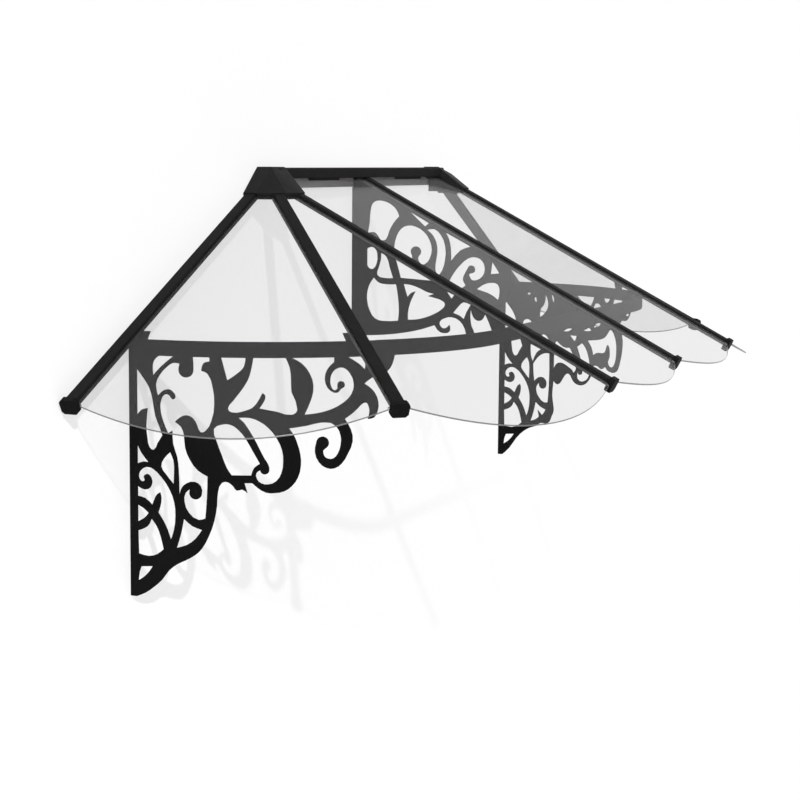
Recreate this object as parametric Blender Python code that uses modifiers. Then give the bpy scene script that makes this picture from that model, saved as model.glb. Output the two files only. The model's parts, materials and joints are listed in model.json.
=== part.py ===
"""Door canopy: a hipped roof of clear sheets on seven rafters, carried by pierced scroll brackets.

Frame: +Z up, the wall is the plane y = 0 and the canopy stands out towards -Y.
The origin lies on the wall at the level of the rafters' top line, midway between the two hubs.
"""

import bisect
import math

import bmesh
import bpy
from mathutils import Matrix, Vector

# Overall plan and fall of the roof
HUB_X = 0.425              # from the middle of the canopy to each hub axis
RAFTER_RUN = 0.691         # plan length of every rafter
RAFTER_DROP = 0.357        # fall of every rafter over that run
FAN_ANGLE = math.radians(45.0)   # between neighbouring rafters of a fan
CLEARANCE = 0.0003         # gap between pieces that touch
SLOPE = RAFTER_DROP / RAFTER_RUN
RAFTER_LENGTH = math.hypot(RAFTER_RUN, RAFTER_DROP)
COSINE = RAFTER_RUN / RAFTER_LENGTH
SINE = RAFTER_DROP / RAFTER_LENGTH
FAN_SLOPE = SLOPE / math.cos(FAN_ANGLE / 2)   # steepest fall of a sheet between two fanned rafters

# Clear sheets
SHEET_THICKNESS = 0.003
SHEET_SINK = 0.005         # upper face below the rafters' top line, measured plumb
SHEET_EDGE = 0.0026        # from a rafter's axis to the edge of a sheet
SCALLOP_DEPTH = 0.046      # how far each lower edge swells past its corners
SCALLOP_STEPS = 22
SHEET_HEAD_RADIUS = 0.042  # where the fan sheets start, from the hub axis
SHEET_HEAD_CUT = 0.030     # corner cut off the straight sheets beside a hub

# Rafter sections
COVER_HALF_WIDTH = 0.0108
COVER_WALL = 0.0018
COVER_RIB = 0.0032         # thickness of the rib that stands between two sheets
COVER_CHAMFER = 0.0014
BASE_HALF_WIDTH = COVER_HALF_WIDTH + 0.0018
BASE_DEPTH = 0.0133        # underside below the top line, square to the slope
BASE_CHAMFER = 0.0008
# Rafters begin where the heads of fanned neighbours stand clear of each other
RAFTER_HEAD_GAP = 0.0035
RAFTER_HEAD_START = (BASE_HALF_WIDTH / math.tan(FAN_ANGLE / 2) + BASE_DEPTH * SINE) / COSINE
RAFTER_HEAD_START += RAFTER_HEAD_GAP

# End caps
CAP_LENGTH = 0.0175
CAP_HALF_WIDTH = BASE_HALF_WIDTH + 0.0054
CAP_RISE = 0.0038          # above the cover strip
CAP_FALL = 0.0232          # below the rafter's top line
CAP_SHOULDER = 0.0092      # half width of the narrow top face
CAP_SHOULDER_DROP = 0.0082
CAP_FOOT_CHAMFER = 0.0030
CAP_END_WALL = 0.0030
CAP_EDGE = 0.0010
HUB_Y = -CAP_HALF_WIDTH - 0.0005   # hub axes stand out from the wall by half a cap

# Ridge
RIDGE_FRONT = 0.040        # front face in front of the wall
RIDGE_TOP = 0.011
RIDGE_WALL = 0.0026
RIDGE_FLANGE_FALL = 0.029  # lower edge of the flange on the wall
RIDGE_NOSE = 0.003
RIDGE_END_GAP = 0.024      # from a hub axis to the end of the ridge

# Hubs
CROWN_TOP = RIDGE_TOP + 0.0018
SLEEVE_TOP = RIDGE_TOP + 0.0013
CROWN_END = 0.010          # the crown's flat top runs this far past the hub axis
CROWN_SETBACK = 0.002      # and ends this far short of the ridge
DOME_LENGTH = 0.042        # faceted dome between the crown and the arms, along the slope
DOME_HALF_WIDTH = 0.0140
DOME_RISE = 0.0080         # above the rafters' top line
DOME_DEPTH = 0.015         # the dome's block reaches this far down, less deep than the arms'
HUB_ARM_LENGTH = 0.077     # along the slope
HUB_ARM_HALF_WIDTH = BASE_HALF_WIDTH + 0.0024
HUB_ARM_RISE = 0.0022
ARM_START = 0.006          # arms and sockets start this far from the hub axis
ARM_SHOULDER = 0.80        # half width of an arm's top face, as a share of the arm's
ARM_SHOULDER_DROP = 0.0024
ARM_END_TAPER = 0.004      # length over which an arm's end narrows
ARM_END_SHARE = 0.86       # and the share of its width that is left
HUB_SKIRT_THICKNESS = 0.0030   # of the thin parts between the arms
SKIRT_INSET = 0.15         # a skirt's sides lie inside the arms by this share of the angle between them
HUB_DEPTH = 0.020          # how far the arms' blocks reach below the slope
RIDGE_SLEEVE = 0.054       # how far the hub cover reaches along the ridge
RIDGE_SLEEVE_WALL = 0.0018
SOCKET_LENGTH = 0.082
SOCKET_HALF_WIDTH = BASE_HALF_WIDTH + 0.0079
SOCKET_FALL = 0.0215
HUB_BODY_RADIUS = SOCKET_HALF_WIDTH + 0.0014
SOCKET_DROP = 0.0015
HUB_POST_RADIUS = 0.011
HUB_POST_FOOT = 0.004      # the post starts this far above the sockets' lowest level
CUT_REACH = 0.2            # cutters run this far past what they cut
CLAMP_LENGTH = 0.140
CLAMP_THICKNESS = 0.0025
CLAMP_FALL = 0.0055

# Brackets and the belt that joins them
BELT_RADIUS = 0.476        # bend of the side brackets about the hub axis, at mid thickness
PLATE_THICKNESS = 0.003
BELT_HEIGHT = 0.027
# The belt's upper edge passes just under the sheets where they hang lowest over it
BELT_SHEET_GAP = 0.0004
BELT_TOP = -(
    FAN_SLOPE * (BELT_RADIUS + PLATE_THICKNESS / 2) + SHEET_SINK
    + SHEET_THICKNESS * math.hypot(1.0, FAN_SLOPE) + BELT_SHEET_GAP
)
BELT_BOTTOM = BELT_TOP - BELT_HEIGHT
BEND_FLATS = 20            # flats that make up each quarter turn
FLAT_ANGLE = math.radians(0.05)
BELT_LAP = 0.038           # how far the belt runs on behind each side bracket
TAB_HALF_WIDTH = 0.014
TAB_FLARE = 0.006
WALL_TAB_WIDTH = 0.036

# The ornament's knots are in millimetres, as (distance from the wall, level)
MM = 0.001
ORNAMENT_BELT_LEVEL = -303.0   # the knots' level at the belt's lower edge
ORNAMENT_RAFTER_AT = 392.4     # the knots' distance at rafter B
ORNAMENT_MIDDLE_AT = 488.5     # the middle ornament's distance at the belt
ORNAMENT_MIDDLE_SLOPE = 0.51664    # fall of the rafter's underside over the middle ornament
ORNAMENT_MIDDLE_LEVEL = -15.27     # and its level on the hub line

METAL_COLOUR = (0.022, 0.022, 0.024, 1.0)
PLASTIC_COLOUR = (0.017, 0.017, 0.018, 1.0)
SHEET_COLOUR = (0.86, 0.88, 0.89, 1.0)

UNDERSIDE_SINK = BASE_DEPTH / COSINE
UP = Vector((0.0, 0.0, 1.0))


def clear_scene():
    for item in list(bpy.data.objects):
        bpy.data.objects.remove(item, do_unlink=True)


def new_collection(name):
    collection = bpy.data.collections.new(name)
    bpy.context.scene.collection.children.link(collection)
    return collection


def new_material(name, colour, metallic, roughness, alpha=1.0):
    material = bpy.data.materials.new(name)
    material.use_nodes = True
    shader = material.node_tree.nodes["Principled BSDF"]
    shader.inputs["Base Color"].default_value = colour
    shader.inputs["Metallic"].default_value = metallic
    shader.inputs["Roughness"].default_value = roughness
    shader.inputs["Alpha"].default_value = alpha
    return material


clear_scene()
CANOPY = new_collection("door_canopy")
CUTTERS = new_collection("cutters")
METAL = new_material("black_metal", METAL_COLOUR, 0.4, 0.5)
PLASTIC = new_material("black_plastic", PLASTIC_COLOUR, 0.0, 0.55)
CLEAR = new_material("clear_sheet", SHEET_COLOUR, 0.0, 0.08, 0.35)


class Rafter:
    """A rafter line: its start, its direction, and its axes across and square to the slope."""

    def __init__(self, name, start_x, heading):
        self.name = name
        self.start = Vector((start_x, HUB_Y, 0.0))
        run = Vector((math.cos(heading), math.sin(heading), 0.0))
        self.along = (run * RAFTER_RUN - UP * RAFTER_DROP).normalized()
        self.square = (UP - self.along * self.along.dot(UP)).normalized()
        self.across = self.square.cross(self.along)
        self.end = self.start + self.along * RAFTER_LENGTH

    def frame(self, distance):
        """Matrix whose X is across, Y square to the slope, Z along, at a distance down the rafter."""
        columns = (self.across, self.square, self.along)
        matrix = Matrix([list(axis) for axis in columns]).transposed().to_4x4()
        matrix.translation = self.start + self.along * distance
        return matrix


RAFTERS = [
    Rafter("a_left", -HUB_X, math.pi),
    Rafter("b_left", -HUB_X, math.radians(225)),
    Rafter("c_left", -HUB_X, math.radians(270)),
    Rafter("d", 0.0, math.radians(270)),
    Rafter("c_right", HUB_X, math.radians(270)),
    Rafter("b_right", HUB_X, math.radians(315)),
    Rafter("a_right", HUB_X, 0.0),
]


def facet_normal(first, second):
    """Upward normal of the roof facet between two neighbouring rafters."""
    return first.along.cross(second.end - first.start).normalized()


def side_falls(index):
    """Fall of the sheets away from a rafter on its two sides, None where it faces the wall."""
    rafter = RAFTERS[index]
    falls = [None, None]
    if index > 0:
        normal = facet_normal(RAFTERS[index - 1], rafter)
        falls[0] = -normal.dot(rafter.across) / normal.dot(rafter.square)
    if index < len(RAFTERS) - 1:
        normal = facet_normal(rafter, RAFTERS[index + 1])
        falls[1] = normal.dot(rafter.across) / normal.dot(rafter.square)
    return falls


def sheet_top_at(fall, distance):
    """Height of a sheet's upper face at a distance across from the rafter's axis."""
    return -SHEET_SINK * COSINE - (fall or 0.0) * distance


def sheet_bottom_at(fall, distance):
    thickness = SHEET_THICKNESS * math.hypot(1.0, fall or 0.0)
    return sheet_top_at(fall, distance) - thickness


# Knots of an outline: a plain pair is smooth, a corner is sharp
def corner(x, y):
    return (x, y, True)


def arc(centre_x, centre_y, radius, start, end, count):
    """Smooth knots on a circle, from one angle in degrees to another."""
    knots = []
    for step in range(count + 1):
        angle = math.radians(start + (end - start) * step / count)
        knots.append((centre_x + radius * math.cos(angle), centre_y + radius * math.sin(angle)))
    return knots


def add_spline(curve, knots, resolution):
    """Closed outline: a Bezier spline, or straight runs where no knot is smooth."""
    if all(len(knot) > 2 for knot in knots):
        spline = curve.splines.new("POLY")
        spline.points.add(len(knots) - 1)
        for point, knot in zip(spline.points, knots):
            point.co = (knot[0], knot[1], 0.0, 1.0)
    else:
        spline = curve.splines.new("BEZIER")
        spline.resolution_u = resolution
        spline.bezier_points.add(len(knots) - 1)
        for point, knot in zip(spline.bezier_points, knots):
            kind = "VECTOR" if len(knot) > 2 else "AUTO"
            point.co = (knot[0], knot[1], 0.0)
            point.handle_left_type = kind
            point.handle_right_type = kind
    spline.use_cyclic_u = True


def object_from_mesh(name, mesh, collection, material):
    result = bpy.data.objects.new(name, mesh)
    collection.objects.link(result)
    if material is not None:
        mesh.materials.clear()
        mesh.materials.append(material)
    return result


def plate(name, outlines, thickness, matrix, collection, material, resolution=3):
    """Flat plate cut to closed outlines, inner ones being holes, as a welded mesh."""
    curve = bpy.data.curves.new(name, "CURVE")
    curve.dimensions = "2D"
    curve.fill_mode = "BOTH"
    curve.extrude = thickness / 2
    for knots in outlines:
        add_spline(curve, knots, resolution)
    drawn = bpy.data.objects.new(name + "_outline", curve)
    drawn.matrix_world = matrix
    collection.objects.link(drawn)
    bpy.context.view_layer.update()
    evaluated = drawn.evaluated_get(bpy.context.evaluated_depsgraph_get())
    mesh = bpy.data.meshes.new_from_object(evaluated)
    result = object_from_mesh(name, mesh, collection, material)
    result.matrix_world = drawn.matrix_world
    bpy.data.objects.remove(drawn, do_unlink=True)
    shape = bmesh.new()
    shape.from_mesh(mesh)
    bmesh.ops.remove_doubles(shape, verts=shape.verts, dist=0.00001)
    bmesh.ops.recalc_face_normals(shape, faces=shape.faces)
    shape.to_mesh(mesh)
    shape.free()
    return result


def extrusion(name, profile, rafter, start, end, collection, material):
    """A section in a rafter's cross plane, run from one distance down the rafter to another."""
    middle = rafter.frame((start + end) / 2)
    return plate(name, [profile], end - start, middle, collection, material)


def as_cutter(item):
    item.hide_render = True
    item.display_type = "WIRE"
    return item


def boolean(target, operand, operation):
    modifier = target.modifiers.new(operation.lower() + "_" + operand.name, "BOOLEAN")
    modifier.operation = operation
    modifier.solver = "EXACT"
    modifier.object = operand


def hull(name, points, collection, material):
    """Convex solid round a few points."""
    shape = bmesh.new()
    for point in points:
        shape.verts.new(point)
    made = bmesh.ops.convex_hull(shape, input=shape.verts)
    unused = set(made["geom_interior"]) | set(made["geom_unused"])
    loose = [item for item in unused if isinstance(item, bmesh.types.BMVert)]
    bmesh.ops.delete(shape, geom=loose, context="VERTS")
    bmesh.ops.recalc_face_normals(shape, faces=shape.faces)
    bmesh.ops.dissolve_limit(
        shape, angle_limit=math.radians(0.2), verts=shape.verts, edges=shape.edges
    )
    mesh = bpy.data.meshes.new(name)
    shape.to_mesh(mesh)
    shape.free()
    return object_from_mesh(name, mesh, collection, material)


def cover_profile(falls):
    """Cap strip: two lips that press on the sheets and a rib between them."""
    lips = []
    for fall in falls:
        if fall is None:
            depth = BASE_TOP_ON_AXIS + CLEARANCE
            lips.append((depth, depth))
        else:
            outer = sheet_top_at(fall, COVER_HALF_WIDTH) + CLEARANCE
            inner = sheet_top_at(fall, COVER_HALF_WIDTH - COVER_WALL) + CLEARANCE
            lips.append((outer, inner))
    rib = COVER_RIB / 2
    rib_foot = BASE_TOP_ON_AXIS + CLEARANCE
    inside = COVER_HALF_WIDTH - COVER_WALL
    (left_outer, left_inner), (right_outer, right_inner) = lips
    return [
        corner(-COVER_HALF_WIDTH, left_outer),
        corner(-inside, left_inner),
        corner(-inside, -COVER_WALL),
        corner(-rib, -COVER_WALL),
        corner(-rib, rib_foot),
        corner(rib, rib_foot),
        corner(rib, -COVER_WALL),
        corner(inside, -COVER_WALL),
        corner(inside, right_inner),
        corner(COVER_HALF_WIDTH, right_outer),
        corner(COVER_HALF_WIDTH, -COVER_CHAMFER),
        corner(COVER_HALF_WIDTH - COVER_CHAMFER, 0.0),
        corner(-COVER_HALF_WIDTH + COVER_CHAMFER, 0.0),
        corner(-COVER_HALF_WIDTH, -COVER_CHAMFER),
    ]


def base_edge_at(fall):
    """Height of the base's upper edge on one side."""
    if fall is None:
        return BASE_TOP_ON_AXIS
    return sheet_bottom_at(fall, BASE_HALF_WIDTH) - CLEARANCE


def base_profile(falls):
    """Bearer strip under the sheets, its top roofed to the fall of the sheets."""
    left_edge, right_edge = (base_edge_at(fall) for fall in falls)
    return [
        corner(-BASE_HALF_WIDTH, -BASE_DEPTH + BASE_CHAMFER),
        corner(-BASE_HALF_WIDTH + BASE_CHAMFER, -BASE_DEPTH),
        corner(BASE_HALF_WIDTH - BASE_CHAMFER, -BASE_DEPTH),
        corner(BASE_HALF_WIDTH, -BASE_DEPTH + BASE_CHAMFER),
        corner(BASE_HALF_WIDTH, right_edge),
        corner(0.0, BASE_TOP_ON_AXIS),
        corner(-BASE_HALF_WIDTH, left_edge),
    ]


STEEPEST_FALL = max(side_falls(1))
BASE_TOP_ON_AXIS = sheet_bottom_at(STEEPEST_FALL, 0.0) - CLEARANCE
BESIDE_CAP = (CAP_HALF_WIDTH + CLEARANCE) * math.hypot(1.0, STEEPEST_FALL)
BESIDE_CAP += SHEET_THICKNESS * STEEPEST_FALL
# A sheet's own origin is plumb under the hub, which puts it a little way down the slope
SHEET_SLIP = SHEET_SINK * SINE
SHEET_CORNER = RAFTER_LENGTH - CAP_END_WALL - CLEARANCE - SHEET_SLIP


def cap_profile():
    return [
        corner(-CAP_HALF_WIDTH + CAP_FOOT_CHAMFER, -CAP_FALL),
        corner(CAP_HALF_WIDTH - CAP_FOOT_CHAMFER, -CAP_FALL),
        corner(CAP_HALF_WIDTH, -CAP_FALL + CAP_FOOT_CHAMFER),
        corner(CAP_HALF_WIDTH, CAP_RISE - CAP_SHOULDER_DROP),
        corner(CAP_SHOULDER, CAP_RISE),
        corner(-CAP_SHOULDER, CAP_RISE),
        corner(-CAP_HALF_WIDTH, CAP_RISE - CAP_SHOULDER_DROP),
        corner(-CAP_HALF_WIDTH, -CAP_FALL + CAP_FOOT_CHAMFER),
    ]


def rafter_envelope(gap):
    """Section that clears both the base and the cover strip."""
    step = sheet_top_at(STEEPEST_FALL, BASE_HALF_WIDTH)
    return [
        corner(-BASE_HALF_WIDTH - gap, -BASE_DEPTH - gap),
        corner(BASE_HALF_WIDTH + gap, -BASE_DEPTH - gap),
        corner(BASE_HALF_WIDTH + gap, step),
        corner(COVER_HALF_WIDTH + gap, step),
        corner(COVER_HALF_WIDTH + gap, gap),
        corner(-COVER_HALF_WIDTH - gap, gap),
        corner(-COVER_HALF_WIDTH - gap, step),
        corner(-BASE_HALF_WIDTH - gap, step),
    ]


def sheet_slot(side, fall, reach):
    """Section of the slot that lets a sheet into a cap from one side."""
    near = COVER_HALF_WIDTH / 2
    return [
        corner(side * near, sheet_bottom_at(fall, near) - CLEARANCE),
        corner(side * reach, sheet_bottom_at(fall, reach) - CLEARANCE),
        corner(side * reach, sheet_top_at(fall, reach) + CLEARANCE),
        corner(side * near, sheet_top_at(fall, near) + CLEARANCE),
    ]


def make_rafter(index):
    """Base, cover strip and end cap of one rafter."""
    rafter = RAFTERS[index]
    falls = side_falls(index)
    start = RAFTER_HEAD_START
    if rafter.name == "d":
        start = RIDGE_WALL / COSINE
    end = RAFTER_LENGTH - CAP_END_WALL - CLEARANCE
    extrusion("rafter_" + rafter.name, base_profile(falls), rafter, start, end, CANOPY, METAL)
    extrusion("cover_" + rafter.name, cover_profile(falls), rafter, start, end, CANOPY, METAL)

    cap_start = RAFTER_LENGTH - CAP_LENGTH
    cap = extrusion("cap_" + rafter.name, cap_profile(), rafter, cap_start, RAFTER_LENGTH, CANOPY, PLASTIC)
    edge = cap.modifiers.new("edges", "BEVEL")
    edge.width = CAP_EDGE
    edge.segments = 1
    edge.limit_method = "ANGLE"
    edge.angle_limit = math.radians(60)
    inner = RAFTER_LENGTH - CAP_END_WALL
    behind = cap_start - CAP_LENGTH
    hollow = extrusion(
        "hollow_" + rafter.name, rafter_envelope(CLEARANCE), rafter, behind, inner, CUTTERS, None
    )
    boolean(cap, as_cutter(hollow), "DIFFERENCE")
    for side, fall in zip((-1, 1), falls):
        if fall is None:
            continue
        slot = extrusion(
            "slot_%s_%d" % (rafter.name, side), sheet_slot(side, fall, 2 * CAP_HALF_WIDTH),
            rafter, behind, inner, CUTTERS, None,
        )
        boolean(cap, as_cutter(slot), "DIFFERENCE")


def scallop(base, fraction):
    """Distance down the slope of a sheet's lower edge, by fraction of the way across."""
    return base + SCALLOP_DEPTH * math.sin(math.pi * fraction)


def fan_sheet_outline(spread):
    """Sheet between two rafters that meet at a hub, spread being the angle between them."""
    corner_at = SHEET_CORNER
    first = math.asin(BESIDE_CAP / corner_at)
    half = []
    head = math.asin(SHEET_EDGE / SHEET_HEAD_RADIUS)
    half.append((SHEET_HEAD_RADIUS, head))
    half.append((corner_at, math.asin(SHEET_EDGE / corner_at)))
    half.append((corner_at, first))
    points = list(half)
    for step in range(SCALLOP_STEPS + 1):
        angle = first + (spread - 2 * first) * step / SCALLOP_STEPS
        points.append((scallop(corner_at, angle / spread), angle))
    points += [(radius, spread - angle) for radius, angle in reversed(half)]
    return [corner(radius * math.cos(angle), radius * math.sin(angle)) for radius, angle in points]


def bay_sheet_outline(width, hub_first):
    """Sheet between two parallel rafters; one head corner is cut to clear the hub post."""
    corner_at = SHEET_CORNER
    head = -SHEET_EDGE
    outline = []
    if hub_first:
        outline.append((head, SHEET_EDGE + SHEET_HEAD_CUT))
        outline.append((head + SHEET_HEAD_CUT, SHEET_EDGE))
    else:
        outline.append((head, SHEET_EDGE))
    outline.append((corner_at, SHEET_EDGE))
    outline.append((corner_at, BESIDE_CAP))
    for step in range(SCALLOP_STEPS + 1):
        place = BESIDE_CAP + (width - 2 * BESIDE_CAP) * step / SCALLOP_STEPS
        outline.append((scallop(corner_at, place / width), place))
    outline.append((corner_at, width - BESIDE_CAP))
    outline.append((corner_at, width - SHEET_EDGE))
    if hub_first:
        outline.append((head, width - SHEET_EDGE))
    else:
        outline.append((head + SHEET_HEAD_CUT, width - SHEET_EDGE))
        outline.append((head, width - SHEET_EDGE - SHEET_HEAD_CUT))
    return [corner(x, y) for x, y in outline]


def facet_frame(first, second, rise):
    """Matrix whose X runs down a rafter in the sheets' upper face and whose Z is square to it."""
    normal = facet_normal(first, second)
    columns = (first.along, normal.cross(first.along), normal)
    matrix = Matrix([list(axis) for axis in columns]).transposed().to_4x4()
    matrix.translation = first.start - UP * SHEET_SINK + normal * rise
    return matrix


def make_sheet(index, name):
    first = RAFTERS[index]
    second = RAFTERS[index + 1]
    matrix = facet_frame(first, second, -SHEET_THICKNESS / 2)
    if first.start == second.start:
        outline = fan_sheet_outline(first.along.angle(second.along))
    else:
        outline = bay_sheet_outline(second.start.x - first.start.x, first.start.x < 0.0)
    plate(name, [outline], SHEET_THICKNESS, matrix, CANOPY, CLEAR)


# Ridge
# The lip's inner edge stops just above the middle rafter's cover strip
RIDGE_LIP = -SLOPE * (RIDGE_FRONT - RIDGE_WALL + HUB_Y) + CLEARANCE / COSINE


def ridge_profile():
    """Folded channel: hood, front lip and a flange down the wall."""
    back = RIDGE_WALL
    return [
        corner(0.0, RIDGE_TOP),
        corner(0.0, -RIDGE_FLANGE_FALL),
        corner(back, -RIDGE_FLANGE_FALL),
        corner(back, RIDGE_TOP - RIDGE_WALL),
        corner(RIDGE_FRONT - RIDGE_WALL, RIDGE_TOP - RIDGE_WALL),
        corner(RIDGE_FRONT - RIDGE_WALL, RIDGE_LIP),
        corner(RIDGE_FRONT, RIDGE_LIP),
        corner(RIDGE_FRONT, RIDGE_TOP - RIDGE_NOSE),
        corner(RIDGE_FRONT - RIDGE_NOSE, RIDGE_TOP),
    ]


def along_wall(name, profile, start, end, collection, material):
    """A section given as (distance from the wall, height), run along the wall."""
    columns = (Vector((0.0, -1.0, 0.0)), UP, Vector((-1.0, 0.0, 0.0)))
    matrix = Matrix([list(axis) for axis in columns]).transposed().to_4x4()
    matrix.translation = Vector(((start + end) / 2, 0.0, 0.0))
    return plate(name, [profile], end - start, matrix, collection, material)


def make_ridge():
    half = HUB_X - RIDGE_END_GAP
    along_wall("ridge_bar", ridge_profile(), -half, half, CANOPY, METAL)
    clamp_front = RIDGE_FRONT - RIDGE_WALL - CLEARANCE
    for name, middle in (("ridge_clamp_left", -HUB_X / 2), ("ridge_clamp_right", HUB_X / 2)):
        foot = RIDGE_LIP - CLAMP_FALL
        profile = [
            corner(clamp_front - CLAMP_THICKNESS, foot),
            corner(clamp_front, foot),
            corner(clamp_front, RIDGE_TOP - RIDGE_WALL - CLEARANCE),
            corner(clamp_front - CLAMP_THICKNESS, RIDGE_TOP - RIDGE_WALL - CLEARANCE),
        ]
        ends = (middle - CLAMP_LENGTH / 2, middle + CLAMP_LENGTH / 2)
        clamp = along_wall(name, profile, *ends, CANOPY, METAL)
        clear_of_sheets(clamp)


def clear_of_sheets(item):
    """Cuts from an item the layer that the straight sheets lie in."""
    rafter = RAFTERS[3]
    top = sheet_top_at(0.0, 0.0) + CLEARANCE
    bottom = sheet_bottom_at(0.0, 0.0) - CLEARANCE
    reach = HUB_X
    profile = [corner(-reach, bottom), corner(reach, bottom), corner(reach, top), corner(-reach, top)]
    layer = extrusion("layer_" + item.name, profile, rafter, -CUT_REACH / 2, CUT_REACH, CUTTERS, None)
    boolean(item, as_cutter(layer), "DIFFERENCE")


# Hubs
def hub_rafters(hub_x):
    return [rafter for rafter in RAFTERS if abs(rafter.start.x - hub_x) < CLEARANCE]


def roof_block(name, hub_x, level, reach, collection):
    """Everything under the roof's surface round a hub, the surface moved plumb to a level."""
    inward = -math.copysign(1.0, hub_x)
    hub = Vector((hub_x, HUB_Y, level))
    lines = [Vector((0.0, 0.0, 0.0))]
    for rafter in hub_rafters(hub_x):
        lines.append(rafter.along * reach)
    at_wall = [Vector((0.0, reach, 0.0)) + line for line in lines[:1]]
    wall_rafter = [line for line in lines[1:] if abs(line.y) < CLEARANCE]
    at_wall += [line + Vector((0.0, reach, 0.0)) for line in wall_rafter]
    square_rafter = [line for line in lines[1:] if abs(line.x) < CLEARANCE]
    ridge_side = [line + Vector((inward * reach, 0.0, 0.0)) for line in lines[:1] + square_rafter]
    ridge_side.append(Vector((inward * reach, reach, 0.0)))
    surface = lines + at_wall + ridge_side
    floor = Vector((0.0, 0.0, -reach))
    points = [hub + point for point in surface]
    points += [hub + point + floor for point in surface]
    return hull(name, points, collection, None)


def arm_hull(name, rafter, half_width, rise, drop, fall, length, collection):
    """Sloping block round a rafter's head, its upper corners chamfered by a drop."""
    shoulder = half_width * ARM_SHOULDER
    section = [
        (-half_width, -fall), (half_width, -fall), (half_width, rise - drop),
        (shoulder, rise), (-shoulder, rise), (-half_width, rise - drop),
    ]
    points = []
    for distance, shrink in ((ARM_START, 1.0), (length - ARM_END_TAPER, 1.0), (length, ARM_END_SHARE)):
        frame = rafter.frame(distance)
        points += [frame @ Vector((x * shrink, y, 0.0)) for x, y in section]
    return hull(name, points, collection, None)


def cylinder(name, radius, bottom, top, centre, collection, segments=32):
    shape = bmesh.new()
    bmesh.ops.create_cone(
        shape, cap_ends=True, segments=segments, radius1=radius, radius2=radius,
        depth=top - bottom, matrix=Matrix.Translation((0.0, 0.0, (top + bottom) / 2)),
    )
    mesh = bpy.data.meshes.new(name)
    shape.to_mesh(mesh)
    shape.free()
    result = object_from_mesh(name, mesh, collection, None)
    result.location = (centre.x, centre.y, 0.0)
    return result


def box(name, low, high, collection, material=None):
    shape = bmesh.new()
    bmesh.ops.create_cube(shape, size=1.0)
    low = Vector(low)
    high = Vector(high)
    bmesh.ops.scale(shape, vec=high - low, verts=shape.verts)
    bmesh.ops.translate(shape, vec=(high + low) / 2, verts=shape.verts)
    mesh = bpy.data.meshes.new(name)
    shape.to_mesh(mesh)
    shape.free()
    return object_from_mesh(name, mesh, collection, material)


def skirt_plate(first, second):
    """Thin part of a hub cover between two of its arms, lying on the sheet there."""
    spread = first.along.angle(second.along)
    inset = spread * SKIRT_INSET
    near = DOME_LENGTH / 2
    far = HUB_ARM_LENGTH - ARM_END_TAPER
    ring = [(near, inset), (far, inset), (far, spread - inset), (near, spread - inset)]
    outline = [corner(radius * math.cos(angle), radius * math.sin(angle)) for radius, angle in ring]
    matrix = facet_frame(first, second, 0.0)
    name = "skirt_" + first.name + "_" + second.name
    return plate(name, [outline], 2 * HUB_SKIRT_THICKNESS, matrix, CUTTERS, None)


def make_hub_cover(side, hub_x):
    """Moulded cover: a crown on the ridge's end, a faceted dome, three arms and a skirt."""
    inward = -math.copysign(1.0, hub_x)
    name = "hub_cover_" + side
    points = []
    for across in (-inward * CROWN_END, inward * (RIDGE_END_GAP - CROWN_SETBACK)):
        for y in (0.0, HUB_Y):
            points.append(Vector((hub_x + across, y, CROWN_TOP)))
            points.append(Vector((hub_x + across, y, -DOME_DEPTH)))
    for rafter in hub_rafters(hub_x):
        for across in (-DOME_HALF_WIDTH, DOME_HALF_WIDTH):
            for rise in (DOME_RISE, -DOME_DEPTH):
                points.append(rafter.frame(DOME_LENGTH) @ Vector((across, rise, 0.0)))
    cover = hull(name, points, CANOPY, PLASTIC)

    heads = hub_rafters(hub_x)
    for first, second in zip(heads, heads[1:]):
        boolean(cover, as_cutter(skirt_plate(first, second)), "UNION")
    for rafter in heads:
        arm = arm_hull(
            "arm_" + rafter.name, rafter, HUB_ARM_HALF_WIDTH, HUB_ARM_RISE, ARM_SHOULDER_DROP,
            HUB_DEPTH, HUB_ARM_LENGTH, CUTTERS,
        )
        boolean(cover, as_cutter(arm), "UNION")
    sleeve_ends = sorted((hub_x, hub_x + inward * RIDGE_SLEEVE))
    sleeve = along_wall("sleeve_" + side, sleeve_profile(), *sleeve_ends, CUTTERS, None)
    boolean(cover, as_cutter(sleeve), "UNION")

    under = roof_block("under_" + side, hub_x, CLEARANCE - SHEET_SINK, CUT_REACH, CUTTERS)
    boolean(cover, as_cutter(under), "DIFFERENCE")
    for rafter in hub_rafters(hub_x):
        channel = extrusion(
            "channel_" + rafter.name, rafter_envelope(CLEARANCE), rafter,
            RAFTER_HEAD_START - CLEARANCE, HUB_ARM_LENGTH * 2, CUTTERS, None,
        )
        boolean(cover, as_cutter(channel), "DIFFERENCE")
    room_ends = sorted((hub_x + inward * (RIDGE_END_GAP - CLEARANCE), hub_x + inward * RIDGE_SLEEVE * 2))
    room = along_wall("ridge_room_" + side, ridge_room_profile(), *room_ends, CUTTERS, None)
    boolean(cover, as_cutter(room), "DIFFERENCE")
    boolean(cover, as_cutter(behind_wall("behind_" + side, hub_x, -CLEARANCE)), "DIFFERENCE")


def behind_wall(name, hub_x, front):
    """Everything at a hub that lies behind a plane along the wall."""
    low = (hub_x - CUT_REACH, front, -CUT_REACH)
    high = (hub_x + CUT_REACH, front + CUT_REACH, CUT_REACH)
    return box(name, low, high, CUTTERS)


def sleeve_profile():
    wall = RIDGE_SLEEVE_WALL
    front = RIDGE_FRONT + wall
    return [
        corner(0.0, SLEEVE_TOP),
        corner(0.0, RIDGE_LIP + CLEARANCE),
        corner(front, RIDGE_LIP + CLEARANCE),
        corner(front, SLEEVE_TOP - RIDGE_NOSE),
        corner(front - RIDGE_NOSE, SLEEVE_TOP),
    ]


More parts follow.
